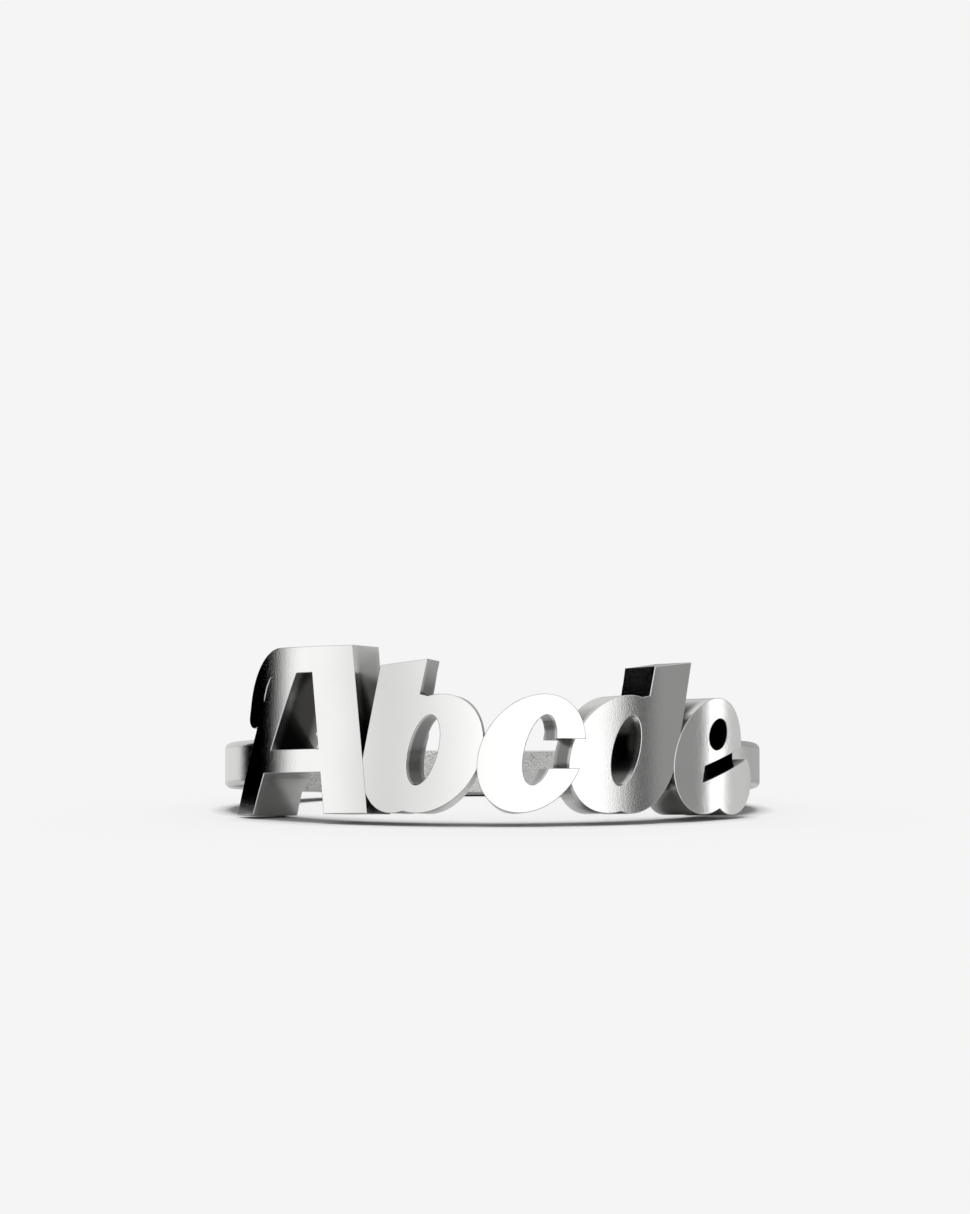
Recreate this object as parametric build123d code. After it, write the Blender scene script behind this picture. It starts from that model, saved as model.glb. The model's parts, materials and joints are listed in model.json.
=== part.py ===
from build123d import *
from math import atan, cos, degrees, radians, tan
import os

# Name ring cast in one piece: a narrow band whose front is a row of bold leaning letters.
# It lies on its side as it rests by itself, letters towards -Y, on the floor at z = 0.

# Finger bore and band
bore_diameter = 17.0
band_thickness = 1.6
band_height = 1.7
band_outer_rounding = 0.25
band_bite = 0.35  # how far each end of the band reaches into an end letter

# Row of letters
letter_thickness = 2.1
letter_relief = 0.2  # the letters stand back from the bore above and below the band
baseline_drop = 1.95  # letter feet below the middle of the band
capital_height = 6.05
ascender_height = 5.5
small_height = 4.25
slant_deg = 12.5

# Strokes of the small letters
stem_width = 1.75
side_stroke = 1.65
head_stroke = 0.75
foot_stroke = 1.0
counter_width = 1.1
bowl_width = 3.9
shoulder_width = 3.2  # oval that rounds the outer foot of a stem
stem_top_rise = 0.2  # the tops of stems are cut at a slope

# Capital
capital_width = 7.1
capital_top_left = 1.65
thin_leg_width = 1.3
thick_leg_width = 1.95
capital_top_width = 3.45
top_bar_thickness = 0.95
crossbar_height = 1.5
crossbar_thickness = 0.85
flag_thickness = 0.9
flag_rise = 1.9  # height of the flag's curve
flag_drop = 2.9  # from the top down to the flag's end
flag_overlap = 0.15  # the flag's end closes on the thin leg

# Openings and tail of the third and last letters
aperture_height = 1.05
slot_height = 0.6
slot_rise = 1.1
slot_foot = 1.15
eye_height = 1.15
tail_width = 2.7
tail_height = 2.3
tail_reach = 1.1

# Overlaps between neighbours
capital_overlap = 0.8
letter_overlap = 0.2
open_letter_overlap = 0.6

bore_radius = bore_diameter / 2
band_radius = bore_radius + band_thickness
letter_radius = bore_radius + letter_thickness
spare = band_thickness / 2  # metal left inside and outside until it is trimmed in one pass
rough_radius = bore_radius - spare
lean = tan(radians(slant_deg))
stem_letter_width = side_stroke + counter_width + stem_width
tailed_letter_width = bowl_width + tail_reach


def bar(left, right, bottom, top):
    middle = Pos((left + right) / 2, (bottom + top) / 2)
    return middle * Rectangle(right - left, top - bottom)


def oval(left, right, bottom, top):
    middle = Pos((left + right) / 2, (bottom + top) / 2)
    return middle * Ellipse((right - left) / 2, (top - bottom) / 2)


def shape(*corners):
    return make_face(Polyline(*corners, close=True))


def counter(left):
    return oval(left, left + counter_width, foot_stroke, small_height - head_stroke)


def stem(left, bottom):
    # Upright stroke up to the ascender height, its top cut at a slope.
    right = left + stem_width
    low_top = ascender_height - stem_top_rise
    return shape((left, bottom), (right, bottom), (right, ascender_height), (left, low_top))


def capital_a():
    # Two spreading legs under a flat top, a crossbar, and a flag that curls down at the left.
    foot_right = capital_width
    top_right = capital_top_left + capital_top_width
    thin_leg = shape(
        (0, 0),
        (thin_leg_width, 0),
        (capital_top_left + thin_leg_width, capital_height),
        (capital_top_left, capital_height),
    )
    thick_leg = shape(
        (foot_right - thick_leg_width, 0),
        (foot_right, 0),
        (top_right, capital_height),
        (top_right - thick_leg_width, capital_height),
    )
    top_bar = bar(capital_top_left, top_right, capital_height - top_bar_thickness, capital_height)
    inner_feet = (thin_leg_width, foot_right - thick_leg_width)
    crossbar = bar(*inner_feet, crossbar_height, crossbar_height + crossbar_thickness)
    return thin_leg + thick_leg + top_bar + crossbar + flag()


def flag():
    # Quarter ring from the top of the thin leg round to the left, ending in a round drop.
    end = capital_height - flag_drop + flag_thickness / 2
    leg_left = capital_top_left * end / capital_height
    inner = leg_left + flag_overlap
    left = inner - flag_thickness
    reach = capital_top_left - left
    spring = capital_height - flag_rise
    outer_arc = oval(left, left + 2 * reach, spring - flag_rise, capital_height)
    hollow_top = capital_height - flag_thickness
    hollow_foot = spring - flag_rise + flag_thickness
    inner_arc = oval(inner, inner + 2 * (reach - flag_thickness), hollow_foot, hollow_top)
    upper_left = bar(left, capital_top_left + thin_leg_width / 2, spring, capital_height)
    quarter = (outer_arc - inner_arc) & upper_left
    drop = Pos((left + inner) / 2, end) * Circle(flag_thickness / 2)
    return quarter + bar(left, inner, end, spring) + drop


def small_b():
    # Stem at the left with a rounded foot, bowl at the right.
    bowl_left = stem_letter_width - bowl_width
    bowl = oval(bowl_left, stem_letter_width, 0, small_height)
    foot = oval(0, shoulder_width, 0, small_height)
    return bowl + foot + stem(0, small_height / 2) - counter(stem_width)


def small_c():
    # Bowl open at the right between two ends.
    bowl = oval(0, bowl_width, 0, small_height)
    middle = small_height / 2
    opening = bar(
        side_stroke + counter_width / 2,
        bowl_width,
        middle - aperture_height / 2,
        middle + aperture_height / 2,
    )
    return bowl - counter(side_stroke) - opening


def small_d():
    # Bowl at the left, stem at the right with a rounded foot.
    bowl = oval(0, bowl_width, 0, small_height)
    foot = oval(stem_letter_width - shoulder_width, stem_letter_width, 0, small_height)
    top_stem = stem(stem_letter_width - stem_width, small_height / 2)
    return bowl + foot + top_stem - counter(side_stroke)


def small_e():
    # Bowl with a small eye over a rising slot, and a tail that sweeps up to the band.
    bowl = oval(0, bowl_width, 0, small_height)
    right = tailed_letter_width
    tail = oval(right - tail_width, right, 0, tail_height)
    slot = shape(
        (side_stroke, slot_foot),
        (right, slot_foot + slot_rise),
        (right, slot_foot + slot_rise + slot_height),
        (side_stroke, slot_foot + slot_height),
    )
    eye_top = small_height - head_stroke
    eye = oval(side_stroke, side_stroke + counter_width, eye_top - eye_height, eye_top)
    return bowl + tail - slot - eye


def leaning(letter):
    # The upright letter pushed over by the slant.
    shear = Matrix([[1, lean, 0, 0], [0, 1, 0, 0], [0, 0, 1, 0]])
    return letter.face().transform_geometry(shear)


def post(radius):
    # Round post on the ring's axis, taller than any letter.
    return Cylinder(radius, 4 * capital_height)


def wedge(outline, distances):
    # Solid with walls that run along rays from the ring's axis, between two upright planes.
    sections = []
    for distance in distances:
        spread = Matrix([[distance / letter_radius, 0, 0, 0], [0, 1, 0, 0], [0, 0, 1, 0]])
        plane = Plane(origin=(0, -distance, 0), x_dir=(1, 0, 0), z_dir=(0, -1, 0))
        sections.append(plane * outline.transform_geometry(spread))
    return Solid.make_loft(sections, ruled=True)


def bent_letter(letter, start):
    # The letter bent round the finger, its left foot at this length along the row, not yet bored.
    face = leaning(letter)
    box = face.bounding_box()
    middle = (box.min.X + box.max.X) / 2
    half_angle = atan(box.size.X / 2 / letter_radius)
    centred = face.moved(Location((-middle, -baseline_drop, 0)))
    distances = (rough_radius * cos(half_angle) - spare, letter_radius + spare)
    walls = wedge(centred.outer_wire(), distances)
    for hole in centred.inner_wires():
        walls -= wedge(hole, distances)
    turn = degrees((start + middle) / letter_radius)
    return Rot(0, 0, turn) * (walls & post(letter_radius))


def row_starts():
    # Length along the row at which each letter begins, the row centred on the front.
    advances = [
        capital_width - capital_overlap,
        stem_letter_width - letter_overlap,
        bowl_width - open_letter_overlap,
        stem_letter_width - letter_overlap,
    ]
    row_length = sum(advances) + tailed_letter_width
    starts = [-row_length / 2]
    for advance in advances:
        starts.append(starts[-1] + advance)
    return starts


def band(left_angle, right_angle):
    # The band from the last letter round the back to the first, not yet bored.
    depth = band_radius - rough_radius
    profile = Pos(rough_radius + depth / 2, 0) * Rectangle(depth, band_height)
    profile = fillet(profile.vertices().group_by(Axis.X)[-1], band_outer_rounding)
    section = Rot(0, 0, right_angle - 90) * (Plane.XZ * profile)
    return revolve(section, Axis.Z, 360 - right_angle + left_angle)


def finger_cut():
    # The bore over the band's height, and a slightly wider hole above and below it.
    eased = Cylinder(bore_radius + letter_relief, 2 * capital_height)
    offset = band_height / 2 + capital_height
    return post(bore_radius) + Pos(0, 0, offset) * eased + Pos(0, 0, -offset) * eased


def name_ring():
    starts = row_starts()
    letters = [capital_a(), small_b(), small_c(), small_d(), small_e()]
    ring = None
    for letter, start in zip(letters, starts):
        solid = bent_letter(letter, start)
        ring = solid if ring is None else ring + solid
    band_top = baseline_drop + band_height / 2
    leg_lean = capital_top_left / capital_height + lean
    left_end = starts[0] + band_top * leg_lean + band_bite
    right_end = starts[-1] + tailed_letter_width - band_bite
    left_angle = degrees(left_end / letter_radius)
    right_angle = degrees(right_end / letter_radius)
    return ring + band(left_angle, right_angle) - finger_cut()


def rest_tilt(starts):
    # The ring tips back on the inner edges of its outer feet until the rounded back edge
    # of the band meets the floor.
    left_foot = starts[0] / letter_radius
    right_foot = (starts[-1] + tailed_letter_width - tail_width / 2) / letter_radius
    feet_y = -(bore_radius + letter_relief) * (cos(left_foot) + cos(right_foot)) / 2
    back_y = band_radius - band_outer_rounding
    return degrees(atan((baseline_drop - band_height / 2) / (back_y - feet_y)))


def rest_place(ring):
    # Tips the ring, centres its box over the origin and sets it on the floor.
    tip = Rot(-rest_tilt(row_starts()), 0, 0)
    box = (tip * ring).bounding_box()
    middle = (box.min + box.max) / 2
    return Pos(-middle.X, -middle.Y, -box.min.Z) * tip


os.makedirs("parts", exist_ok=True)
ring = name_ring()
place = rest_place(ring)
finished = place * ring
export_step(finished, "parts/name_ring.step")
print("bore centre", place.position, "tilt in degrees", place.orientation.X)
print("volume in cubic mm", finished.volume)
print("centre of mass", finished.center(CenterOf.MASS))
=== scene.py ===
import json
from math import atan, atan2, cos, pi, radians, sin, sqrt, tan

import bmesh
import bpy
from mathutils import Matrix, Vector
from mathutils.bvhtree import BVHTree
from mathutils.geometry import delaunay_2d_cdt


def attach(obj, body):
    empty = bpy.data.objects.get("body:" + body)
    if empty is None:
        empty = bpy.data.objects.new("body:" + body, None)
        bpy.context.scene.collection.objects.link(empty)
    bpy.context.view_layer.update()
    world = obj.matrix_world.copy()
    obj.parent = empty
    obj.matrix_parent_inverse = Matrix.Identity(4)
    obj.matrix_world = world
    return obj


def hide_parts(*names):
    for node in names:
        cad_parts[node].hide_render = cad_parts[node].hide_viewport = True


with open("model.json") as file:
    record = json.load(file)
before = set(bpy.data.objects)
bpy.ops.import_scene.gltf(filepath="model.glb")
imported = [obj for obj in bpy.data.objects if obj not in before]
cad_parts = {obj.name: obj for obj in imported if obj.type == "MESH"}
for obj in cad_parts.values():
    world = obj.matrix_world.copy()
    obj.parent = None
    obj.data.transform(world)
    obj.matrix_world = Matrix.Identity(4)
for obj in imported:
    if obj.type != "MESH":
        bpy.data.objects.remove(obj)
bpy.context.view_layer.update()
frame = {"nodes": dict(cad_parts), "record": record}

# The ring is drawn flat in millimetres, bent round the finger, then set on the floor where
# the frame says.


# small helpers

def addObject(name, data):
    obj = bpy.data.objects.new(name, data)
    bpy.context.scene.collection.objects.link(obj)
    return obj


def meshFrom(name, bm):
    mesh = bpy.data.meshes.new(name)
    bm.to_mesh(mesh)
    bm.free()
    return mesh


def settle(obj):
    # the evaluated result becomes the object's own plain mesh
    bpy.context.view_layer.update()
    graph = bpy.context.evaluated_depsgraph_get()
    mesh = bpy.data.meshes.new_from_object(obj.evaluated_get(graph))
    obj.modifiers.clear()
    obj.data = mesh
    return obj


def addNode(tree, kind, **settings):
    node = tree.nodes.new(kind)
    for name, value in settings.items():
        setattr(node, name, value)
    return node


def feed(tree, socket, source):
    # a socket takes another node's output or a plain value
    if isinstance(source, bpy.types.NodeSocket):
        tree.links.new(source, socket)
    else:
        socket.default_value = source


def calc(tree, operation, *sources):
    node = addNode(tree, "ShaderNodeMath", operation=operation)
    for socket, source in zip(node.inputs, sources):
        feed(tree, socket, source)
    return node.outputs[0]


def softStep(tree, source, middle, width):
    # rises from 0 to 1 across this width
    step = addNode(tree, "ShaderNodeMapRange", interpolation_type="SMOOTHSTEP")
    feed(tree, step.inputs["Value"], source)
    feed(tree, step.inputs["From Min"], middle - width / 2)
    feed(tree, step.inputs["From Max"], middle + width / 2)
    return step.outputs[0]


def mixColors(tree, share, first, second):
    # a Mix node takes its colours at sockets 6 and 7 and gives the mix at output 2
    mix = addNode(tree, "ShaderNodeMix", data_type="RGBA")
    for number, source in ((0, share), (6, first), (7, second)):
        feed(tree, mix.inputs[number], source)
    return mix.outputs[2]


def mixShaders(tree, share, first, second):
    mix = addNode(tree, "ShaderNodeMixShader")
    for socket, source in zip(mix.inputs, (share, first, second)):
        tree.links.new(source, socket)
    return mix.outputs[0]


def greyColor(brightness):
    return (brightness,) * 3 + (1,)


def newTree(name, kind, inputs, outputs):
    # a node group with named sockets, listed under their types, and its given values
    tree = bpy.data.node_groups.new(name, kind)
    for inOut, sockets in (("INPUT", inputs), ("OUTPUT", outputs)):
        for kindName, names in sockets.items():
            for socketName in names:
                socketType = "NodeSocket" + kindName
                tree.interface.new_socket(socketName, in_out=inOut, socket_type=socketType)
    return tree, addNode(tree, "NodeGroupInput").outputs


def finishTree(tree, geometry, material):
    real = addNode(tree, "GeometryNodeRealizeInstances")
    paint = addNode(tree, "GeometryNodeSetMaterial")
    out = addNode(tree, "NodeGroupOutput")
    tree.links.new(geometry, real.inputs["Geometry"])
    tree.links.new(real.outputs["Geometry"], paint.inputs["Geometry"])
    tree.links.new(material, paint.inputs["Material"])
    tree.links.new(paint.outputs["Geometry"], out.inputs[0])


def setInputs(modifier, values):
    # modifier inputs are set by the socket's identifier, before the first evaluation
    for item in modifier.node_group.interface.items_tree:
        if item.item_type == "SOCKET" and item.in_out == "INPUT" and item.name in values:
            modifier[item.identifier] = values[item.name]


# letter outlines, each a list of corners running counter-clockwise

letterSizes = {
    "capitalHeight": 6.05,
    "ascenderHeight": 5.5,
    "smallHeight": 4.25,
    "slantDeg": 12.5,
    "stemWidth": 1.75,
    "sideStroke": 1.65,
    "headStroke": 0.75,
    "footStroke": 1.0,
    "counterWidth": 1.1,
    "bowlWidth": 3.9,
    "shoulderWidth": 3.2,
    "stemTopRise": 0.2,
    "capitalWidth": 7.1,
    "capitalTopLeft": 1.65,
    "thinLegWidth": 1.3,
    "thickLegWidth": 1.95,
    "capitalTopWidth": 3.45,
    "topBarThickness": 0.95,
    "crossbarHeight": 1.5,
    "crossbarThickness": 0.85,
    "flagThickness": 0.9,
    "flagRise": 1.9,
    "flagDrop": 2.9,
    "flagOverlap": 0.15,
    "apertureHeight": 1.05,
    "apertureSpare": 0.5,  # how far past the bowl its opening is cut
    "slotHeight": 0.6,
    "slotRise": 1.1,
    "slotFoot": 1.15,
    "eyeHeight": 1.15,
    "tailWidth": 2.7,
    "tailHeight": 2.3,
    "tailReach": 1.1,
    "capitalOverlap": 0.8,
    "letterOverlap": 0.2,
    "openLetterOverlap": 0.6,
    "curvePoints": 112,  # points on each full oval
    "curveStart": 0.013,  # where the first of them lies, in radians
    "edgeBevel": 0.03,
    "bevelCurve": 0.29,  # where the bevel's middle edge lies, as a share of its width
    "cornerTurnDeg": 25,  # a sharper turn than this is a corner
    "cornerBevels": 3,  # no point is nearer to a corner than this many bevels
    "pointGap": 0.03,  # and elsewhere no two points are nearer than this
    "leastCosine": 0.55,  # keeps sharp corners from shooting out when a loop is inset
}
ls = letterSizes
stemLetterWidth = ls["sideStroke"] + ls["counterWidth"] + ls["stemWidth"]
tailedLetterWidth = ls["bowlWidth"] + ls["tailReach"]


def bar(left, right, bottom, top):
    return [(left, bottom), (right, bottom), (right, top), (left, top)]


def arc(middle, reach, start, sweep, count):
    points = []
    for i in range(count + 1):
        angle = start + sweep * i / count
        points.append((middle[0] + reach[0] * cos(angle), middle[1] + reach[1] * sin(angle)))
    return points


def oval(left, right, bottom, top):
    middle = ((left + right) / 2, (bottom + top) / 2)
    reach = ((right - left) / 2, (top - bottom) / 2)
    return arc(middle, reach, ls["curveStart"], 2 * pi, ls["curvePoints"])[:-1]


def counter(left):
    top = ls["smallHeight"] - ls["headStroke"]
    return oval(left, left + ls["counterWidth"], ls["footStroke"], top)


def stem(left, bottom):
    right = left + ls["stemWidth"]
    top = ls["ascenderHeight"]
    return [(left, bottom), (right, bottom), (right, top), (left, top - ls["stemTopRise"])]


def flag():
    # hangs from the top of the thin leg, curls round to the left and ends in a round drop
    top = ls["capitalHeight"]
    thick = ls["flagThickness"]
    end = top - ls["flagDrop"] + thick / 2
    inner = ls["capitalTopLeft"] * end / top + ls["flagOverlap"]
    left = inner - thick
    reach = ls["capitalTopLeft"] - left
    spring = top - ls["flagRise"]
    quarter = ls["curvePoints"] // 4
    right = ls["capitalTopLeft"] + ls["thinLegWidth"] / 2
    outline = arc((left + reach, spring), (reach, ls["flagRise"]), pi / 2, pi / 2, quarter)
    outline += arc(((left + inner) / 2, end), (thick / 2, thick / 2), pi, pi, quarter)
    innerReach = (reach - thick, ls["flagRise"] - thick)
    outline += arc((inner + innerReach[0], spring), innerReach, pi, -pi / 2, quarter)
    outline += [(right, top - thick), (right, top)]
    return outline


def capitalA():
    top = ls["capitalHeight"]
    topLeft = ls["capitalTopLeft"]
    topRight = topLeft + ls["capitalTopWidth"]
    footRight = ls["capitalWidth"]
    thin, thick = ls["thinLegWidth"], ls["thickLegWidth"]
    thinLeg = [(0, 0), (thin, 0), (topLeft + thin, top), (topLeft, top)]
    thickLeg = [(footRight - thick, 0), (footRight, 0), (topRight, top), (topRight - thick, top)]
    topBar = bar(topLeft, topRight, top - ls["topBarThickness"], top)
    crossTop = ls["crossbarHeight"] + ls["crossbarThickness"]
    crossbar = bar(thin, footRight - thick, ls["crossbarHeight"], crossTop)
    return [thinLeg, thickLeg, topBar, crossbar, flag()], []


def smallB():
    top = ls["smallHeight"]
    bowl = oval(stemLetterWidth - ls["bowlWidth"], stemLetterWidth, 0, top)
    foot = oval(0, ls["shoulderWidth"], 0, top)
    return [bowl, foot, stem(0, top / 2)], [counter(ls["stemWidth"])]


def smallC():
    middle = ls["smallHeight"] / 2
    half = ls["apertureHeight"] / 2
    left = ls["sideStroke"] + ls["counterWidth"] / 2
    opening = bar(left, ls["bowlWidth"] + ls["apertureSpare"], middle - half, middle + half)
    bowl = oval(0, ls["bowlWidth"], 0, ls["smallHeight"])
    return [bowl], [counter(ls["sideStroke"]), opening]


def smallD():
    top = ls["smallHeight"]
    bowl = oval(0, ls["bowlWidth"], 0, top)
    foot = oval(stemLetterWidth - ls["shoulderWidth"], stemLetterWidth, 0, top)
    topStem = stem(stemLetterWidth - ls["stemWidth"], top / 2)
    return [bowl, foot, topStem], [counter(ls["sideStroke"])]


def smallE():
    left, right = ls["sideStroke"], tailedLetterWidth
    bowl = oval(0, ls["bowlWidth"], 0, ls["smallHeight"])
    tail = oval(right - ls["tailWidth"], right, 0, ls["tailHeight"])
    foot, rise, high = ls["slotFoot"], ls["slotRise"], ls["slotHeight"]
    slot = [(left, foot), (right, foot + rise), (right, foot + rise + high), (left, foot + high)]
    eyeTop = ls["smallHeight"] - ls["headStroke"]
    eye = oval(left, left + ls["counterWidth"], eyeTop - ls["eyeHeight"], eyeTop)
    return [bowl, tail], [slot, eye]


def rowStarts():
    advances = [
        ls["capitalWidth"] - ls["capitalOverlap"],
        stemLetterWidth - ls["letterOverlap"],
        ls["bowlWidth"] - ls["openLetterOverlap"],
        stemLetterWidth - ls["letterOverlap"],
    ]
    starts = [-(sum(advances) + tailedLetterWidth) / 2]
    for advance in advances:
        starts.append(starts[-1] + advance)
    return starts


def leaning(polygons):
    lean = tan(radians(ls["slantDeg"]))
    return [[(x + lean * y, y) for x, y in polygon] for polygon in polygons]


def keptTriangles(adds, cuts):
    # triangles of the plane that lie in any added shape and in no cut one
    points, faces = [], []
    for polygon in adds + cuts:
        faces.append(list(range(len(points), len(points) + len(polygon))))
        points += [Vector(p) for p in polygon]
    insideOnly, nearest = 1, 1e-6
    found = delaunay_2d_cdt(points, [], faces, insideOnly, nearest, True)
    corners, _, triangles, origins, _, owners = found
    kept = []
    for triangle, owned in zip(triangles, owners):
        inAdded = any(shape < len(adds) for shape in owned)
        inCut = any(shape >= len(adds) for shape in owned)
        if inAdded and not inCut:
            kept.append(triangle)
    return corners, kept, origins


def outlineLoops(adds, cuts):
    # outer outlines run counter-clockwise and holes clockwise, so metal is always to the left
    points, triangles, _ = keptTriangles(adds, cuts)
    sides = {(t[i], t[(i + 1) % 3]) for t in triangles for i in range(3)}
    following = {a: b for a, b in sides if (b, a) not in sides}
    loops = []
    while following:
        first = next(iter(following))
        loop, at = [], first
        while at in following:
            loop.append(points[at])
            at = following.pop(at)
        loops.append(thinnedLoop(loop))
    return loops


def turnAt(loop, i):
    before = loop[i] - loop[i - 1]
    after = loop[(i + 1) % len(loop)] - loop[i]
    return abs(before.angle_signed(after, 0))


def thinnedLoop(loop):
    # points too near a corner or each other merge into it, so the bevel never folds over itself
    kept = loop[:]
    i = 0
    while i < len(kept):
        j = (i + 1) % len(kept)
        here, there = turnAt(kept, i), turnAt(kept, j)
        atCorner = max(here, there) > radians(ls["cornerTurnDeg"])
        nearest = ls["cornerBevels"] * ls["edgeBevel"] if atCorner else ls["pointGap"]
        if (kept[j] - kept[i]).length < nearest:
            kept.pop(i if here < there else j)
            i = max(i - 2, 0)
        else:
            i += 1
    return kept


def loopArea(loop):
    return sum(a.x * b.y - b.x * a.y for a, b in zip(loop, loop[1:] + loop[:1])) / 2


def insetLoop(loop, distance):
    # moves every point into the metal
    moved = []
    for i, point in enumerate(loop):
        before = (point - loop[i - 1]).normalized()
        after = (loop[(i + 1) % len(loop)] - point).normalized()
        side = Vector((-before.y - after.y, before.x + after.x))
        side.normalize()
        cosine = max(ls["leastCosine"], side.dot(Vector((-before.y, before.x))))
        moved.append(point + side * (distance / cosine))
    return moved


def flatLetter(bm, loops, depth):
    # closed flat solid: bevelled face at depth 0, walls, bevelled back
    bevel = ls["edgeBevel"]
    curve = bevel * ls["bevelCurve"]
    steps = [(bevel, 0), (curve, curve), (0, bevel), (0, depth - bevel), (bevel, depth)]
    rings = []
    for offset, deep in steps:
        insets = [insetLoop(loop, offset) for loop in loops]
        rings.append([[bm.verts.new((p.x, deep, p.y)) for p in inset] for inset in insets])
    for front, back in zip(rings, rings[1:]):
        for a, c in zip(front, back):
            for i in range(len(a)):
                j = (i + 1) % len(a)
                bm.faces.new((a[i], c[i], c[j], a[j]))
    # the face and the back are filled round their holes, which are listed the other way round
    outers, holes, outerEdge, holeEdge = [], [], [], []
    for loop, front, back in zip(loops, rings[0], rings[-1]):
        inset = insetLoop(loop, bevel)
        pairs = list(zip(front, back))
        if loopArea(inset) > 0:
            outers.append(inset)
            outerEdge += pairs
        else:
            holes.append(inset[::-1])
            holeEdge += pairs[::-1]
    edge = outerEdge + holeEdge
    _, triangles, origins = keptTriangles(outers, holes)
    for triangle in triangles:
        corners = [edge[origins[v][0]] for v in triangle]
        bm.faces.new([front for front, back in corners])
        bm.faces.new([back for front, back in corners][::-1])


# the ring

ringSizes = {
    "boreRadius": 8.5,
    "bandRadius": 10.1,
    "bandHeight": 1.7,
    "bandOuterRounding": 0.25,
    "roundingSteps": 10,
    "bandBite": 0.35,
    "letterRadius": 10.6,
    "letterRelief": 0.2,
    "letterStep": 0.03,  # every second letter stands this much lower, which draws the seams
    "baselineDrop": 1.95,
    "roughDepth": 0.8,  # metal that the letters have inside the bore until it is cut
    "bandRoughShare": 0.9,  # the band has this share of it, so that no two faces lie together
    "boreSegments": 400,
    "boreTurn": 0.31,  # the bore's corners start this share of a segment round
    "boreReach": 9.0,  # how far up and down the finger cut goes
    "bandSegments": 300,
    "boreChamfer": 0.05,
    "sliceStep": 0.2,
    "sliceStart": 0.71,  # share of a step, found by trial: from some others the bore's cut fails
    "mergeNear": 0.001,
    "volumeSlack": 0.02,
}
rs = ringSizes


def sliced(bm):
    # upright cuts let the flat solid bend smoothly
    touching = 1e-5
    low = min(v.co.x for v in bm.verts)
    high = max(v.co.x for v in bm.verts)
    at = low + rs["sliceStep"] * rs["sliceStart"]
    while at < high:
        geometry = bm.verts[:] + bm.edges[:] + bm.faces[:]
        bmesh.ops.bisect_plane(
            bm, geom=geometry, dist=touching, plane_co=(at, 0, 0), plane_no=(1, 0, 0)
        )
        at += rs["sliceStep"]


def makeWrapTree():
    # bends a flat piece round the finger: x runs along the row, y is the depth, z the height
    tree, given = newTree("wrapRoundFinger", "GeometryNodeTree", {
        "Geometry": ["Geometry"],
        "Float": ["Face Radius", "Drawn Radius", "Turn", "Middle", "Baseline Drop"],
        "Material": ["Material"],
    }, {"Geometry": ["Geometry"]})
    place = addNode(tree, "ShaderNodeSeparateXYZ")
    tree.links.new(addNode(tree, "GeometryNodeInputPosition").outputs[0], place.inputs[0])
    along = calc(tree, "SUBTRACT", place.outputs[0], given["Middle"])
    bend = calc(tree, "ARCTAN2", along, given["Drawn Radius"])
    angle = calc(tree, "ADD", bend, given["Turn"])
    reach = calc(tree, "SUBTRACT", given["Face Radius"], place.outputs[1])
    bent = addNode(tree, "ShaderNodeCombineXYZ")
    feed(tree, bent.inputs[0], calc(tree, "MULTIPLY", reach, calc(tree, "SINE", angle)))
    back = calc(tree, "MULTIPLY", reach, calc(tree, "COSINE", angle))
    feed(tree, bent.inputs[1], calc(tree, "MULTIPLY", back, -1.0))
    feed(tree, bent.inputs[2], calc(tree, "SUBTRACT", place.outputs[2], given["Baseline Drop"]))
    move = addNode(tree, "GeometryNodeSetPosition")
    tree.links.new(given["Geometry"], move.inputs["Geometry"])
    tree.links.new(bent.outputs[0], move.inputs["Position"])
    finishTree(tree, move.outputs["Geometry"], given["Material"])
    return tree


def makeBandTree():
    # sweeps the band's section round an arc, its two outer corners rounded
    tree, given = newTree("bandRoundFinger", "GeometryNodeTree", {
        "Float": ["Inner Radius", "Outer Radius", "Height", "Rounding", "Start", "Sweep"],
        "Int": ["Segments", "Rounding Steps"],
        "Material": ["Material"],
    }, {"Geometry": ["Geometry"]})
    inner, outer = given["Inner Radius"], given["Outer Radius"]
    path = addNode(tree, "GeometryNodeCurveArc", mode="RADIUS")
    feed(tree, path.inputs["Resolution"], given["Segments"])
    feed(tree, path.inputs["Radius"], calc(tree, "MULTIPLY", calc(tree, "ADD", outer, inner), 0.5))
    feed(tree, path.inputs["Start Angle"], given["Start"])
    feed(tree, path.inputs["Sweep Angle"], given["Sweep"])
    section = addNode(tree, "GeometryNodeCurvePrimitiveQuadrilateral", mode="RECTANGLE")
    feed(tree, section.inputs["Width"], calc(tree, "SUBTRACT", outer, inner))
    feed(tree, section.inputs["Height"], given["Height"])
    place = addNode(tree, "ShaderNodeSeparateXYZ")
    tree.links.new(addNode(tree, "GeometryNodeInputPosition").outputs[0], place.inputs[0])
    isOuter = calc(tree, "GREATER_THAN", place.outputs[0], 0.0)
    rounded = addNode(tree, "GeometryNodeFilletCurve", mode="POLY")
    tree.links.new(section.outputs[0], rounded.inputs["Curve"])
    feed(tree, rounded.inputs["Count"], given["Rounding Steps"])
    feed(tree, rounded.inputs["Radius"], calc(tree, "MULTIPLY", isOuter, given["Rounding"]))
    upright = addNode(tree, "GeometryNodeSetCurveNormal", mode="Z_UP")
    tree.links.new(path.outputs["Curve"], upright.inputs["Curve"])
    sweep = addNode(tree, "GeometryNodeCurveToMesh")
    tree.links.new(upright.outputs["Curve"], sweep.inputs["Curve"])
    tree.links.new(rounded.outputs["Curve"], sweep.inputs["Profile Curve"])
    feed(tree, sweep.inputs["Fill Caps"], True)
    finishTree(tree, sweep.outputs["Mesh"], given["Material"])
    return tree


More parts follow.
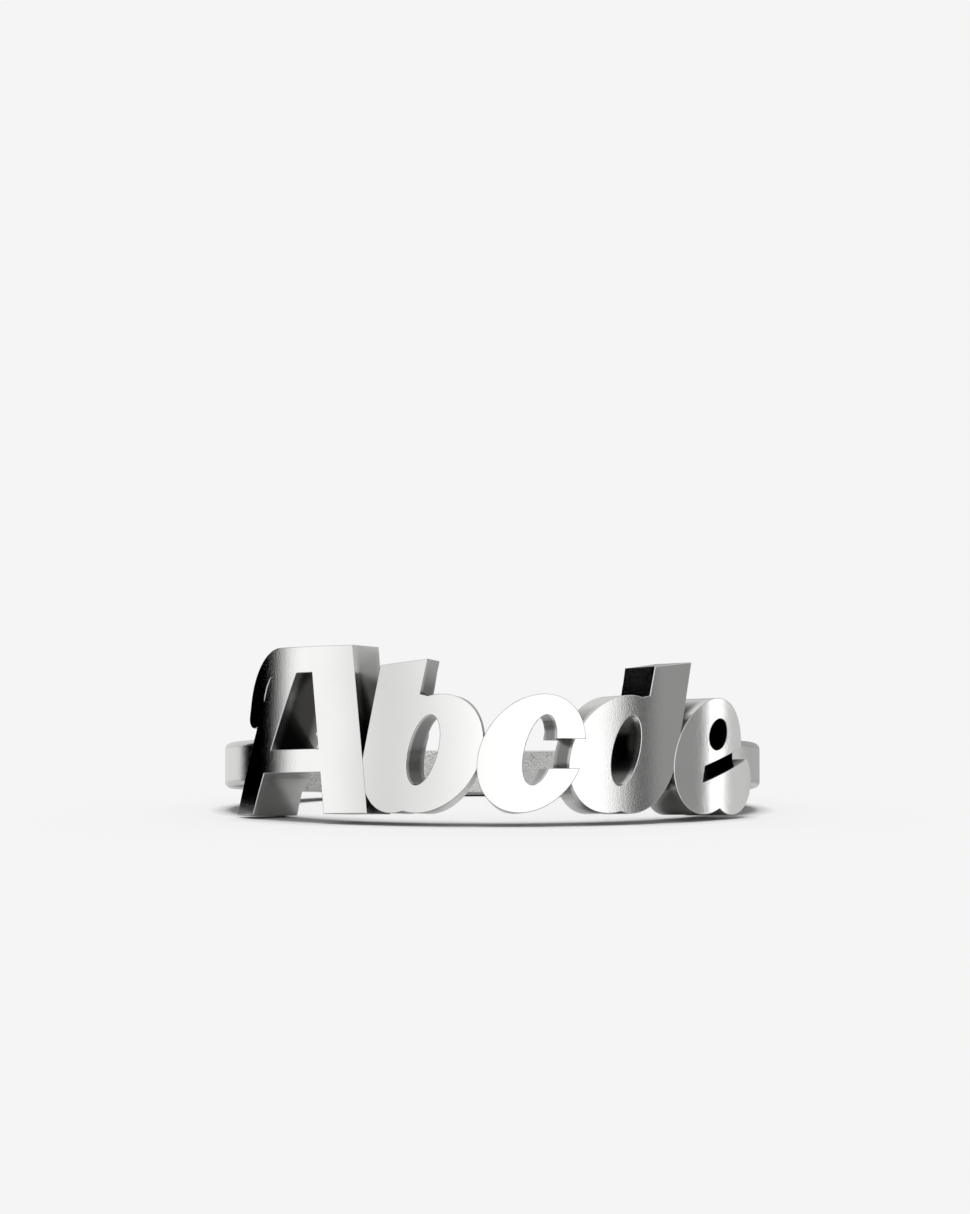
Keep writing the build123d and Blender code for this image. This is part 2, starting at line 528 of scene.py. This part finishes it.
def bentLetter(name, shapes, start, lower, wrapTree, silver):
    adds, cuts = leaning(shapes[0]), leaning(shapes[1])
    loops = outlineLoops(adds, cuts)
    across = [p.x for loop in loops for p in loop]
    middle = (min(across) + max(across)) / 2
    bm = bmesh.new()
    flatLetter(bm, loops, rs["letterRadius"] - rs["boreRadius"] + rs["roughDepth"])
    sliced(bm)
    bmesh.ops.recalc_face_normals(bm, faces=bm.faces[:])
    letter = addObject(name, meshFrom(name, bm))
    wrap = letter.modifiers.new("wrap", "NODES")
    wrap.node_group = wrapTree
    setInputs(wrap, {
        "Face Radius": rs["letterRadius"] - lower,
        "Drawn Radius": rs["letterRadius"],
        "Turn": (start + middle) / rs["letterRadius"],
        "Middle": middle,
        "Baseline Drop": rs["baselineDrop"],
        "Material": silver,
    })
    return settle(letter)


def bandEnds(starts):
    bandTop = rs["baselineDrop"] + rs["bandHeight"] / 2
    legLean = ls["capitalTopLeft"] / ls["capitalHeight"] + tan(radians(ls["slantDeg"]))
    leftEnd = starts[0] + bandTop * legLean + rs["bandBite"]
    rightEnd = starts[-1] + tailedLetterWidth - rs["bandBite"]
    return leftEnd / rs["letterRadius"], rightEnd / rs["letterRadius"]


def makeBand(starts, silver):
    left, right = bandEnds(starts)
    band = addObject("band", bpy.data.meshes.new("band"))
    sweep = band.modifiers.new("sweep", "NODES")
    sweep.node_group = makeBandTree()
    setInputs(sweep, {
        "Inner Radius": rs["boreRadius"] - rs["roughDepth"] * rs["bandRoughShare"],
        "Outer Radius": rs["bandRadius"],
        "Height": rs["bandHeight"],
        "Rounding": rs["bandOuterRounding"],
        "Start": right - pi / 2,
        "Sweep": 2 * pi - right + left,
        "Segments": rs["bandSegments"],
        "Rounding Steps": rs["roundingSteps"],
        "Material": silver,
    })
    return settle(band)


def makeFingerCut():
    # the bore, with a small chamfer at the band's edges that opens to the letters' relief
    edge = rs["bandHeight"] / 2 - rs["boreChamfer"]
    bore, wide = rs["boreRadius"], rs["boreRadius"] + rs["letterRelief"]
    below = [(wide, -rs["boreReach"]), (wide, -edge - rs["letterRelief"]), (bore, -edge)]
    profile = below + [(radius, -height) for radius, height in reversed(below)]
    bm = bmesh.new()
    rings = []
    for radius, height in profile:
        ring = []
        for i in range(rs["boreSegments"]):
            angle = 2 * pi * (i + rs["boreTurn"]) / rs["boreSegments"]
            ring.append(bm.verts.new((radius * cos(angle), radius * sin(angle), height)))
        rings.append(ring)
    for low, high in zip(rings, rings[1:]):
        for i in range(len(low)):
            j = (i + 1) % len(low)
            bm.faces.new((low[i], low[j], high[j], high[i]))
    bm.faces.new(rings[0][::-1])
    bm.faces.new(rings[-1])
    return addObject("fingerCut", meshFrom("fingerCut", bm))


def combine(obj, other, operation, thorough=False):
    step = obj.modifiers.new("combine", "BOOLEAN")
    step.operation = operation
    step.solver = "EXACT"
    step.use_self = thorough
    step.object = other
    settle(obj)
    bpy.data.objects.remove(other)
    return obj


def makeRing(silver):
    wrapTree = makeWrapTree()
    starts = rowStarts()
    shapes = [capitalA(), smallB(), smallC(), smallD(), smallE()]
    ring = None
    for i, (drawn, start) in enumerate(zip(shapes, starts)):
        lower = rs["letterStep"] * (i % 2)
        letter = bentLetter("letter%d" % i, drawn, start, lower, wrapTree, silver)
        ring = letter if ring is None else combine(ring, letter, "UNION")
    ring = combine(ring, makeBand(starts, silver), "UNION")
    whole = ring.data.copy()
    for thorough in (False, True):
        ring.data = whole.copy()
        ring = combine(ring, makeFingerCut(), "DIFFERENCE", thorough)
        cleanUp(ring.data)
        if isSound(ring.data):
            ring.name = "silverRing"
            return ring
    raise RuntimeError("boring the ring left a broken mesh")


def cleanUp(mesh):
    # corners that the cuts left within a micrometre of each other become one, every face is
    # split into triangles, and slivers that lie on each other back to back go in pairs
    near = rs["mergeNear"]
    bm = bmesh.new()
    bm.from_mesh(mesh)
    bmesh.ops.remove_doubles(bm, verts=bm.verts[:], dist=near)
    bmesh.ops.dissolve_degenerate(bm, edges=bm.edges[:], dist=near)
    bmesh.ops.triangulate(bm, faces=bm.faces[:], quad_method="BEAUTY", ngon_method="BEAUTY")
    sameCorners = {}
    for face in bm.faces:
        sameCorners.setdefault(frozenset(face.verts), []).append(face)
    doubled = [f for faces in sameCorners.values() if len(faces) == 2 for f in faces]
    bmesh.ops.delete(bm, geom=doubled, context="FACES")
    bm.to_mesh(mesh)
    bm.free()


def measured(mesh):
    bm = bmesh.new()
    bm.from_mesh(mesh)
    openEdges = sum(1 for e in bm.edges if not e.is_manifold)
    volume = bm.calc_volume()
    bm.free()
    return openEdges, volume


def isSound(mesh):
    # closed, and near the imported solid's volume, which is brought to cubic millimetres
    openEdges, volume = measured(mesh)
    packed = measured(frame["nodes"]["name_ring"].data)[1] * 1e9
    print("ring faces", len(mesh.polygons), "open edges", openEdges)
    print("volume", round(volume, 2), "packed", round(packed, 2))
    return not openEdges and abs(volume / packed - 1) < rs["volumeSlack"]


# which finish each kind of face has: the chamfer at the bore's edges is worn bright
finishOfKind = {
    "letterFace": "polishedSilver",
    "bandOutside": "polishedSilver",
    "chamfer": "polishedSilver",
    "wall": "wallSilver",
    "bevel": "wallSilver",
    "bore": "boreSilver",
}

# how the kinds are told apart
faceTests = {
    "radiusSlack": 0.006,  # how far off its radius a face's middle may lie, in millimetres
    "straight": 0.999,  # least cosine between a round face's normal and the way out or in
    "upright": 0.02,  # a normal that rises or falls less than this belongs to an upright face
    "sloping": 0.6,  # the chamfer's normal points in, and up or down, by more than this
    "smoothDeg": 50,  # edges that turn less than this are smooth
}


def surfaceKind(middle, normal):
    ft = faceTests
    radius = sqrt(middle.x ** 2 + middle.y ** 2)
    outward = (middle.x * normal.x + middle.y * normal.y) / radius
    lowFace = rs["letterRadius"] - rs["letterStep"]
    if outward > ft["straight"] and abs(normal.z) < ft["upright"]:
        if radius > lowFace - ft["radiusSlack"]:
            return "letterFace"
        if abs(radius - rs["bandRadius"]) < ft["radiusSlack"]:
            return "bandOutside"
    inside = radius < rs["boreRadius"] + rs["letterRelief"] + ft["radiusSlack"]
    if inside and outward < -ft["sloping"]:
        if outward < -ft["straight"]:
            return "bore"
        if abs(normal.z) > ft["sloping"]:
            return "chamfer"
    return "bevel" if radius > lowFace - ls["edgeBevel"] else "wall"


cavitySearch = {
    "reach": 3.4,  # walls that face each other within this count as a cavity
    "rays": 48,
    "goldenAngle": 2.39996,  # turn from each ray to the next, which spreads them evenly
    "lift": 0.02,  # rays start this far off the wall
    "leastCosine": 0.2,  # rays nearer to the wall's own plane than this are left out
    "sideCosine": 0.2,  # a wall that faces out or in less than this is tried at half its depth
}


def spreadDirections(count):
    # evenly spread directions over a sphere
    found = []
    for i in range(count):
        height = 1 - (2 * i + 1) / count
        flat = sqrt(1 - height * height)
        turn = cavitySearch["goldenAngle"] * i
        found.append(Vector((flat * cos(turn), flat * sin(turn), height)))
    return found


def shutIn(point, facing, tree, directions):
    # share of the rays from a wall that strike metal close by
    search = cavitySearch
    outward = Vector((point.x, point.y, 0)).normalized()
    start = point + facing * search["lift"]
    if abs(outward.dot(facing)) < search["sideCosine"]:
        wallMiddle = (rs["boreRadius"] + rs["letterRadius"]) / 2
        start = outward * wallMiddle + Vector((0, 0, point.z)) + facing * search["lift"]
    tried = [d for d in directions if d.dot(facing) > search["leastCosine"]]
    struck = sum(1 for d in tried if tree.ray_cast(start, d, search["reach"])[0])
    return struck / len(tried)


def markPoints(mesh, name, values):
    mesh.attributes.new(name, "FLOAT", "POINT").data.foreach_set("value", values)


def markCavities(mesh, kinds):
    # how shut in the walls are, 0 to 1, which sets where shade is painted into the walls' colour
    walls = [Vector() for _ in mesh.vertices]
    for p in mesh.polygons:
        if kinds[p.index] in ("wall", "bevel"):
            for v in p.vertices:
                walls[v] += p.normal * p.area
    corners = [v.co.copy() for v in mesh.vertices]
    tree = BVHTree.FromPolygons(corners, [p.vertices[:] for p in mesh.polygons])
    directions = spreadDirections(cavitySearch["rays"])
    values = []
    for corner, facing in zip(corners, walls):
        if facing.length:
            facing.normalize()
            values.append(shutIn(corner, facing, tree, directions))
        else:
            values.append(0.0)
    markPoints(mesh, "cavity", values)
    # how far in from the letter faces, 0, towards the bore, 1, which shapes the painted shade
    wall = rs["letterRadius"] - rs["boreRadius"]
    depths = [(rs["letterRadius"] - corner.xy.length) / wall for corner in corners]
    markPoints(mesh, "wallDepth", depths)


def roundNormal(kind, point):
    out = Vector((point.x, point.y, 0)).normalized()
    if kind == "chamfer":
        return (Vector((0, 0, 1 if point.z > 0 else -1)) - out).normalized()
    return -out if kind == "bore" else out


def smoothSilver(ring):
    # round faces get exactly round normals, and the rest is smooth where it turns little
    mesh = ring.data
    roundKinds = ("letterFace", "bore", "bandOutside")
    kinds = [surfaceKind(p.center, p.normal) for p in mesh.polygons]
    normals = [p.normal.copy() for p in mesh.polygons]
    areas = [p.area for p in mesh.polygons]
    around = [[] for _ in mesh.vertices]
    for p in mesh.polygons:
        for v in p.vertices:
            around[v].append(p.index)
    limit = cos(radians(faceTests["smoothDeg"]))
    cornerNormals = []
    for p in mesh.polygons:
        kind = kinds[p.index]
        for v in p.vertices:
            point = mesh.vertices[v].co
            if kind in roundKinds or kind == "chamfer":
                cornerNormals.append(roundNormal(kind, point))
                continue
            total = Vector()
            for other in around[v]:
                # the chamfer is a sharp corner on both sides
                if kinds[other] != "chamfer" and normals[other].dot(normals[p.index]) > limit:
                    isRound = kinds[other] in roundKinds
                    facing = roundNormal(kinds[other], point) if isRound else normals[other]
                    total += facing * areas[other]
            cornerNormals.append(total.normalized() if total.length else normals[p.index])
    markCavities(mesh, kinds)
    mesh.polygons.foreach_set("use_smooth", [True] * len(mesh.polygons))
    finishes = list(silverFinishes)
    slots = [finishes.index(finishOfKind[kind]) for kind in kinds]
    mesh.polygons.foreach_set("material_index", slots)
    mesh.normals_split_custom_set(cornerNormals)


def ringPlace():
    # the frame's record says where the bore's middle is and how the ring leans as it rests
    mount = frame["record"]["mounts"][0]
    axis = mount["axis"]
    tilt = atan2(axis[1], axis[2])
    turned = Matrix.Rotation(-tilt, 4, "X")
    toMetres = Matrix.Scale(0.001, 4)
    return Matrix.Translation(mount["pos_m"]) @ turned @ toMetres


# materials: one silver in three finishes, all with the same grain and handling marks

silverLook = {
    "color": (0.93, 0.925, 0.915),
    # painted shade: the near-black colour laid into the walls where they are shut in between the
    # letters
    "paintedShadeColor": (0.045, 0.043, 0.04),
    "dullest": 0.72,  # how bright the dullest metal is beside clean metal
    "grainDetail": 1.0,
    "pitEdge": 0.42,  # grain lower than this is in a pit
    "pitFloor": 0.3,
    "patchesPerMetre": 420.0,
    "patchDetail": 4.0,
    "patchEdge": 0.4,  # noise above this is in a dull patch
    "patchDullness": 0.5,
    # where the painted shade comes in, each with the middle and the width of its soft step
    "shutInStep": (0.36, 0.46),  # how shut in the wall is
    "shadeFreeRim": (0.13, 0.2),  # depth of the rim by the face that the painted shade leaves out
    "paleDeepEnd": (0.85, 0.3),  # depth at which the end by the bore begins, where the painted shade is weaker, a painted reflection of light from behind
    "paleDeepShare": 0.5,
}

# grain is its depth in thousandths of a millimetre, grainSize its width in millimetres, squash
# how many times lower than wide each grain is, and spread how much rougher dull patches are
# a shadeTint below 1 paints shade into a finish's whole colour, and paintedShade sets how much
# shade is painted into shut-in walls
silverFinishes = {
    "polishedSilver": {
        "shadeTint": 1.0, "roughness": 0.05, "spread": 0.08, "paintedShade": 0.0,
        "grain": 4.6, "grainSize": 0.056, "squash": 2.0, "pitting": 0.0,
    },
    "wallSilver": {
        # painted shade: the walls and bevels are a darker copy of the same silver
        "shadeTint": 0.84, "roughness": 0.15, "spread": 0.14, "paintedShade": 0.96,
        "grain": 1.0, "grainSize": 0.05, "squash": 1.0, "pitting": 0.4,
    },
    "boreSilver": {
        "shadeTint": 1.0, "roughness": 0.24, "spread": 0.2, "paintedShade": 0.0,
        "grain": 9.0, "grainSize": 0.1, "squash": 1.0, "pitting": 1.4,
    },
}


def makeGrainGroup():
    # fine cast grain: a height in thousandths of a millimetre, and a mask of its pits
    tree, given = newTree("castGrain", "ShaderNodeTree", {
        "Vector": ["Place"], "Float": ["Size", "Depth", "Pitting"],
    }, {"Float": ["Height", "Pits"]})
    noise = addNode(tree, "ShaderNodeTexNoise")
    tree.links.new(given["Place"], noise.inputs["Vector"])
    perMetre = calc(tree, "DIVIDE", 1000.0, given["Size"])
    feed(tree, noise.inputs["Scale"], perMetre)
    feed(tree, noise.inputs["Detail"], silverLook["grainDetail"])
    out = addNode(tree, "NodeGroupOutput")
    tree.links.new(calc(tree, "MULTIPLY", noise.outputs[0], given["Depth"]), out.inputs["Height"])
    pits = addNode(tree, "ShaderNodeMapRange", interpolation_type="SMOOTHSTEP")
    feed(tree, pits.inputs["Value"], noise.outputs[0])
    feed(tree, pits.inputs["From Min"], silverLook["pitEdge"])
    feed(tree, pits.inputs["From Max"], silverLook["pitFloor"])
    tree.links.new(calc(tree, "MULTIPLY", pits.outputs[0], given["Pitting"]), out.inputs["Pits"])
    return tree


def makeHandlingGroup():
    # soft patches where fingers and polishing cloth have left the surface a little duller
    tree, given = newTree("handlingMarks", "ShaderNodeTree", {
        "Vector": ["Place"], "Float": ["Roughness", "Spread"],
    }, {"Float": ["Roughness", "Dullness"]})
    noise = addNode(tree, "ShaderNodeTexNoise")
    tree.links.new(given["Place"], noise.inputs["Vector"])
    feed(tree, noise.inputs["Scale"], silverLook["patchesPerMetre"])
    feed(tree, noise.inputs["Detail"], silverLook["patchDetail"])
    patches = calc(tree, "SUBTRACT", noise.outputs[0], silverLook["patchEdge"])
    above = calc(tree, "MAXIMUM", patches, 0.0)
    out = addNode(tree, "NodeGroupOutput")
    rough = calc(tree, "MULTIPLY_ADD", above, given["Spread"], given["Roughness"])
    tree.links.new(rough, out.inputs["Roughness"])
    dull = calc(tree, "MULTIPLY", above, silverLook["patchDullness"])
    tree.links.new(dull, out.inputs["Dullness"])
    return tree


def paintShade(tree, color, strength):
    # painted shade: dark deep between the letters but none at the rim by the face; it is weaker at
    # the end by the bore, a painted reflection of light from behind
    cavity = addNode(tree, "ShaderNodeAttribute", attribute_name="cavity")
    closed = softStep(tree, cavity.outputs["Fac"], *silverLook["shutInStep"])
    depth = addNode(tree, "ShaderNodeAttribute", attribute_name="wallDepth")
    inside = softStep(tree, depth.outputs["Fac"], *silverLook["shadeFreeRim"])
    atEnd = softStep(tree, depth.outputs["Fac"], *silverLook["paleDeepEnd"])
    paled = calc(tree, "MULTIPLY", atEnd, silverLook["paleDeepShare"])
    deep = calc(tree, "MULTIPLY", inside, calc(tree, "SUBTRACT", 1.0, paled))
    share = calc(tree, "MULTIPLY", calc(tree, "MULTIPLY", closed, deep), strength)
    return mixColors(tree, share, color, silverLook["paintedShadeColor"] + (1,))


def makeSilver(name, look, grainGroup, handlingGroup):
    material = bpy.data.materials.new(name)
    material.use_nodes = True
    tree = material.node_tree
    shader = tree.nodes["Principled BSDF"]
    place = addNode(tree, "ShaderNodeTexCoord").outputs["Object"]
    squashed = addNode(tree, "ShaderNodeVectorMath", operation="MULTIPLY")
    feed(tree, squashed.inputs[0], place)
    feed(tree, squashed.inputs[1], (1, 1, look["squash"]))
    grain = addNode(tree, "ShaderNodeGroup", node_tree=grainGroup)
    feed(tree, grain.inputs["Place"], squashed.outputs[0])
    feed(tree, grain.inputs["Size"], look["grainSize"])
    feed(tree, grain.inputs["Depth"], look["grain"])
    feed(tree, grain.inputs["Pitting"], look["pitting"])
    handling = addNode(tree, "ShaderNodeGroup", node_tree=handlingGroup)
    feed(tree, handling.inputs["Place"], place)
    feed(tree, handling.inputs["Roughness"], look["roughness"])
    feed(tree, handling.inputs["Spread"], look["spread"])
    feed(tree, shader.inputs["Roughness"], handling.outputs["Roughness"])
    micrometre = 1e-6
    bump = addNode(tree, "ShaderNodeBump")
    feed(tree, bump.inputs["Distance"], micrometre)
    feed(tree, bump.inputs["Height"], grain.outputs["Height"])
    feed(tree, shader.inputs["Normal"], bump.outputs[0])
    # a shadeTint below 1 is painted shade, darkening the whole finish
    clean = [c * look["shadeTint"] for c in silverLook["color"]]
    dull = [c * silverLook["dullest"] for c in clean]
    dullness = calc(tree, "MAXIMUM", grain.outputs["Pits"], handling.outputs["Dullness"])
    color = mixColors(tree, dullness, clean + [1], dull + [1])
    # a finish with paintedShade gets shade painted into its colour where the walls are shut in
    if look["paintedShade"]:
        color = paintShade(tree, color, look["paintedShade"])
    feed(tree, shader.inputs["Base Color"], color)
    feed(tree, shader.inputs["Metallic"], 1.0)
    return material


def makeSilvers():
    groups = makeGrainGroup(), makeHandlingGroup()
    return [makeSilver(name, look, *groups) for name, look in silverFinishes.items()]


silvers = makeSilvers()
print("silver finishes made")
ring = makeRing(silvers[0])
ring.data.materials.clear()
for finish in silvers:
    ring.data.materials.append(finish)
smoothSilver(ring)
ring.data.transform(ringPlace())
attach(ring, "root")
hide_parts("name_ring")
print("ring made")


# floor, light and camera

studio = {
    "floorRadius": 0.6,
    "floorSides": 96,
    "floorFade": (0.03, 0.15),  # the floor turns into plain glow between these distances
    "floorColor": 0.9,
    "mirroredFade": (0.0105, 0.0155),  # the silver mirrors only the floor close by
    "mirroredColor": 0.62,
    "paleGrey": 0.913,
    "floorFill": 0.3,  # share of the floor's light that comes evenly from all sides
    "lampAngle": 34.0,  # how wide the floor's overhead lamp looks, in degrees
    "leftWall": 0.71,
    "overhead": 0.8,
    "overheadStep": (0.52, 0.26),  # middle and width of the height at which it takes over
    "firstDepth": 2.0,  # ray depth of the ray that the first reflection sends to the studio
    "lostPerBounce": 0.62,  # light is lost between the walls inside the ring
    "backToFloor": 0.65,  # share of the light off the metal that reaches the floor
    # each lamp or flag: where it starts and ends round the ring in degrees, 0 towards the
    # camera and + to the right, each followed by how soft that edge is, then how bright it is
    "lamps": {
        "rightBackWall": (106, 4, 200, 4, 0.4),
        "rightBackStrip": (106, 4, 134, 14, 0.56),
        "leftStrip": (-125, 4, -58, 32, 1.0),
        "blackFlag": (-135.5, 5, -94, 16, 0.0),
        "frontSoftbox": (-18, 64, 53, 18, 1.15),
        "darkFlag": (55, 16, 71, 10, 0.1),
        "rightWall": (68, 10, 104, 4, 0.28),
        "rightStrip": (99, 3, 107.5, 3, 1.7),
    },
}


def brightnessAround(tree, turn):
    # the lamps and flags laid over each other in the order of the list
    light = studio["leftWall"]
    for start, startSoft, end, endSoft, level in studio["lamps"].values():
        begun = softStep(tree, turn, start, startSoft)
        ended = softStep(tree, turn, end, endSoft)
        share = calc(tree, "MULTIPLY", begun, calc(tree, "SUBTRACT", 1.0, ended))
        change = calc(tree, "SUBTRACT", level, light)
        light = calc(tree, "MULTIPLY_ADD", share, change, light)
    return light


def lightKept(tree, rays):
    # share of the studio's light that is left after bounces in the ring and on the floor
    further = calc(tree, "SUBTRACT", rays["Ray Depth"], studio["firstDepth"])
    bounces = calc(tree, "MAXIMUM", further, 0.0)
    offMetal = calc(tree, "POWER", 1 - studio["lostPerBounce"], bounces)
    onFloor = calc(tree, "MINIMUM", rays["Diffuse Depth"], 1.0)
    offFloor = calc(tree, "MULTIPLY_ADD", onFloor, studio["backToFloor"] - 1, 1.0)
    return calc(tree, "MULTIPLY", offMetal, offFloor)


def background(tree, brightness, strength):
    node = addNode(tree, "ShaderNodeBackground")
    feed(tree, node.inputs["Color"], greyColor(brightness))
    feed(tree, node.inputs["Strength"], strength)
    return node.outputs[0]


def makeWorld():
    world = bpy.data.worlds.new("studio")
    bpy.context.scene.world = world
    world.use_nodes = True
    tree = world.node_tree
    tree.nodes.clear()
    coords = addNode(tree, "ShaderNodeTexCoord")
    split = addNode(tree, "ShaderNodeSeparateXYZ")
    tree.links.new(coords.outputs["Generated"], split.inputs[0])
    toCamera = calc(tree, "MULTIPLY", split.outputs[1], -1.0)
    turn = calc(tree, "ARCTAN2", split.outputs[0], toCamera)
    around = brightnessAround(tree, calc(tree, "DEGREES", turn))
    high = softStep(tree, split.outputs[2], *studio["overheadStep"])
    above = calc(tree, "SUBTRACT", studio["overhead"], around)
    studioLight = calc(tree, "MULTIPLY_ADD", high, above, around)
    rays = addNode(tree, "ShaderNodeLightPath").outputs
    lit = background(tree, 1.0, calc(tree, "MULTIPLY", lightKept(tree, rays), studioLight))
    evenLight = studio["floorFill"] * studio["paleGrey"] / studio["floorColor"]
    even = background(tree, 1.0, evenLight)
    shown = background(tree, studio["paleGrey"], 1.0)
    unseen = mixShaders(tree, rays["Is Diffuse Ray"], lit, even)
    out = addNode(tree, "ShaderNodeOutputWorld")
    choice = mixShaders(tree, rays["Is Camera Ray"], unseen, shown)
    tree.links.new(choice, out.inputs["Surface"])
    world.cycles.sampling_method = "NONE"


def makeFloor():
    bm = bmesh.new()
    sides, reach = studio["floorSides"], studio["floorRadius"]
    bmesh.ops.create_circle(bm, cap_ends=True, segments=sides, radius=reach)
    floor = addObject("paleFloor", meshFrom("paleFloor", bm))
    material = bpy.data.materials.new("paleFloor")
    material.use_nodes = True
    tree = material.node_tree
    tree.nodes.clear()
    coords = addNode(tree, "ShaderNodeTexCoord")
    length = addNode(tree, "ShaderNodeVectorMath", operation="LENGTH")
    tree.links.new(coords.outputs["Object"], length.inputs[0])
    glow = addNode(tree, "ShaderNodeEmission")
    feed(tree, glow.inputs["Color"], greyColor(studio["paleGrey"]))
    clear = addNode(tree, "ShaderNodeBsdfTransparent")

    def fading(brightness, fade, far):
        near = addNode(tree, "ShaderNodeBsdfDiffuse")
        feed(tree, near.inputs["Color"], greyColor(brightness))
        start, end = fade
        share = softStep(tree, length.outputs["Value"], (start + end) / 2, end - start)
        return mixShaders(tree, share, near.outputs[0], far.outputs[0])

    shown = fading(studio["floorColor"], studio["floorFade"], glow)
    mirrored = fading(studio["mirroredColor"], studio["mirroredFade"], clear)
    seen = addNode(tree, "ShaderNodeLightPath").outputs["Is Camera Ray"]
    out = addNode(tree, "ShaderNodeOutputMaterial")
    tree.links.new(mixShaders(tree, seen, mirrored, shown), out.inputs["Surface"])
    material.cycles.emission_sampling = "NONE"
    floor.data.materials.append(material)


def makeFloorLamp():
    # a wide soft lamp straight overhead that lights the floor alone and makes it the pale grey
    light = bpy.data.lights.new("floorLamp", "SUN")
    light.angle = radians(studio["lampAngle"])
    light.energy = pi * (1 - studio["floorFill"]) * studio["paleGrey"] / studio["floorColor"]
    lamp = addObject("floorLamp", light)
    lamp.visible_glossy = False


cameraSizes = {
    "distance": 0.170,
    "elevationDeg": 2.88,
    "sensorWidth": 36.0,
    "focalPixels": 4488.0,  # in the photograph's own 970 by 1214 frame
    "centrePixels": (492.3, 766.0),  # where the ring's middle shows there
    "framePixels": (970.0, 1214.0),
    "clip": (0.01, 10.0),
}


def makeCamera():
    cs = cameraSizes
    middle = ringPlace().translation
    up = radians(cs["elevationDeg"])
    back = Vector((0, -cos(up), sin(up)))
    camera = addObject("camera", bpy.data.cameras.new("camera"))
    camera.location = middle + back * cs["distance"]
    camera.data.sensor_width = cs["sensorWidth"]
    camera.data.lens = cs["sensorWidth"] * cs["focalPixels"] / cs["framePixels"][1]
    camera.data.clip_start, camera.data.clip_end = cs["clip"]
    lift = atan((cs["centrePixels"][1] - cs["framePixels"][1] / 2) / cs["focalPixels"])
    swing = atan((cs["centrePixels"][0] - cs["framePixels"][0] / 2) / cs["focalPixels"])
    camera.rotation_euler = (pi / 2 - up + lift, 0, swing)
    bpy.context.scene.camera = camera


makeWorld()
makeFloor()
makeFloorLamp()
makeCamera()
bpy.context.scene.view_settings.view_transform = "Standard"
print("studio made")
